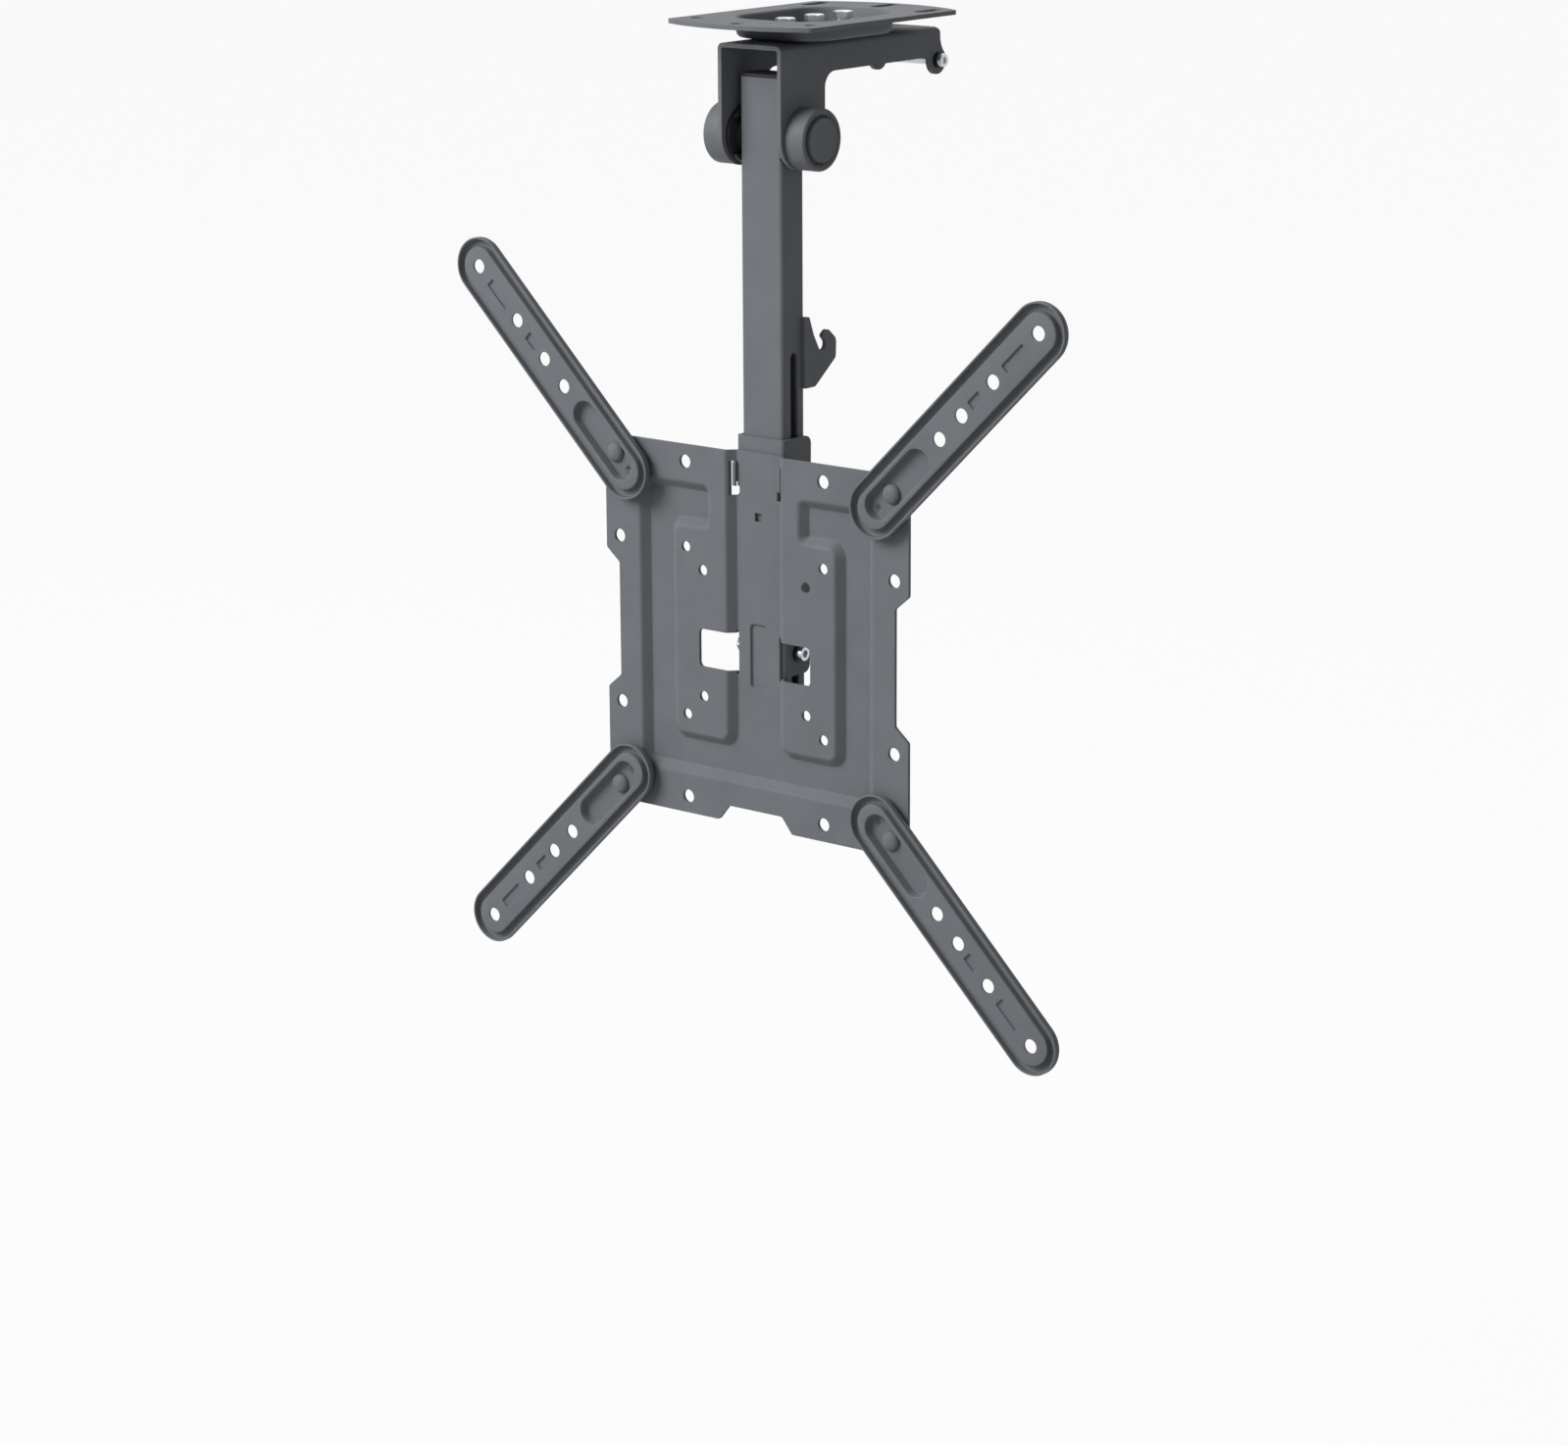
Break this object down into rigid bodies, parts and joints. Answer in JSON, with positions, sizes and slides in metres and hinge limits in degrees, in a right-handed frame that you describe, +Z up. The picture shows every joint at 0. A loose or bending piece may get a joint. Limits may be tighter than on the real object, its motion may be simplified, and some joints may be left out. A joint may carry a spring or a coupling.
{
  "type": "tv ceiling mount",
  "caption": "Ceiling mount for a flat screen: swivelling bracket, folding tube with height setting, and an embossed plate with swinging arms.",
  "frame": {"origin": "on the ceiling face, midway between the two front screw holes of the ceiling plate", "axes": "+X to the right as the screen is seen, +Y to the rear, +Z up into the ceiling"},
  "size_m": [0.4342, 0.1755, 0.5697],
  "materials": {
    "coated_steel": "dark anthracite powder coat, fine satin texture",
    "zinc": "bright zinc plating",
    "black_ring": "black oxide",
    "cap_plastic": "dark anthracite moulded plastic, satin",
    "slide_plastic": "black slide plastic"
  },
  "bodies": {
    "ceiling": {"ceiling_plate": "coated_steel"},
    "bracket": {"bracket": "coated_steel", "swivel_washer": "slide_plastic", "swivel_bolts": "zinc", "swivel_sleeves": "zinc", "swivel_rings": "zinc", "swivel_nuts": "zinc", "pivot_bolt": "zinc", "pivot_nut": "zinc", "pivot_rings": "zinc", "cap_left": "cap_plastic", "cap_right": "cap_plastic", "cap_disc_left": "cap_plastic", "cap_disc_right": "cap_plastic", "spacer_left": "slide_plastic", "spacer_right": "slide_plastic", "catch_bolt": "zinc", "catch_rings": "black_ring", "catch_nut": "zinc"},
    "tube": {"fold_tube": "coated_steel", "pivot_sleeve": "zinc", "tube_plug_top": "slide_plastic", "tube_plug_bottom": "slide_plastic", "catch_hook": "coated_steel"},
    "carriage": {"carriage": "coated_steel", "vesa_plate": "coated_steel", "clamp_bolts": "zinc", "clamp_rings": "black_ring", "clamp_nuts": "zinc", "rivet_upper_left": "coated_steel", "rivet_upper_right": "coated_steel", "rivet_lower_left": "coated_steel", "rivet_lower_right": "coated_steel"},
    "arm_upper_left": {"arm_upper_left": "coated_steel"},
    "arm_upper_right": {"arm_upper_right": "coated_steel"},
    "arm_lower_left": {"arm_lower_left": "coated_steel"},
    "arm_lower_right": {"arm_lower_right": "coated_steel"}
  },
  "joints": [
    {"name": "swivel", "type": "hinge", "parent": "ceiling", "child": "bracket", "pos_m": [0, 0.0546, -0.0115], "axis": [0, 0, 1], "range_deg": [-20, 20]},
    {"name": "fold", "type": "hinge", "parent": "bracket", "child": "tube", "pos_m": [0, 0.0155, -0.0644], "axis": [1, 0, 0], "range_deg": [0, 84]},
    {"name": "height", "type": "slide", "parent": "tube", "child": "carriage", "axis": [0, 0, 1], "range_m": [-0.03, 0.02]},
    {"name": "arm_upper_left_swing", "type": "hinge", "parent": "carriage", "child": "arm_upper_left", "pos_m": [-0.1, -0.0036, -0.2526], "axis": [0, 1, 0], "range_deg": [-45, 45]},
    {"name": "arm_upper_right_swing", "type": "hinge", "parent": "carriage", "child": "arm_upper_right", "pos_m": [0.1, -0.0036, -0.2526], "axis": [0, 1, 0], "range_deg": [-45, 45]},
    {"name": "arm_lower_left_swing", "type": "hinge", "parent": "carriage", "child": "arm_lower_left", "pos_m": [-0.1, -0.0036, -0.4526], "axis": [0, 1, 0], "range_deg": [-45, 45]},
    {"name": "arm_lower_right_swing", "type": "hinge", "parent": "carriage", "child": "arm_lower_right", "pos_m": [0.1, -0.0036, -0.4526], "axis": [0, 1, 0], "range_deg": [-45, 45]}
  ]
}
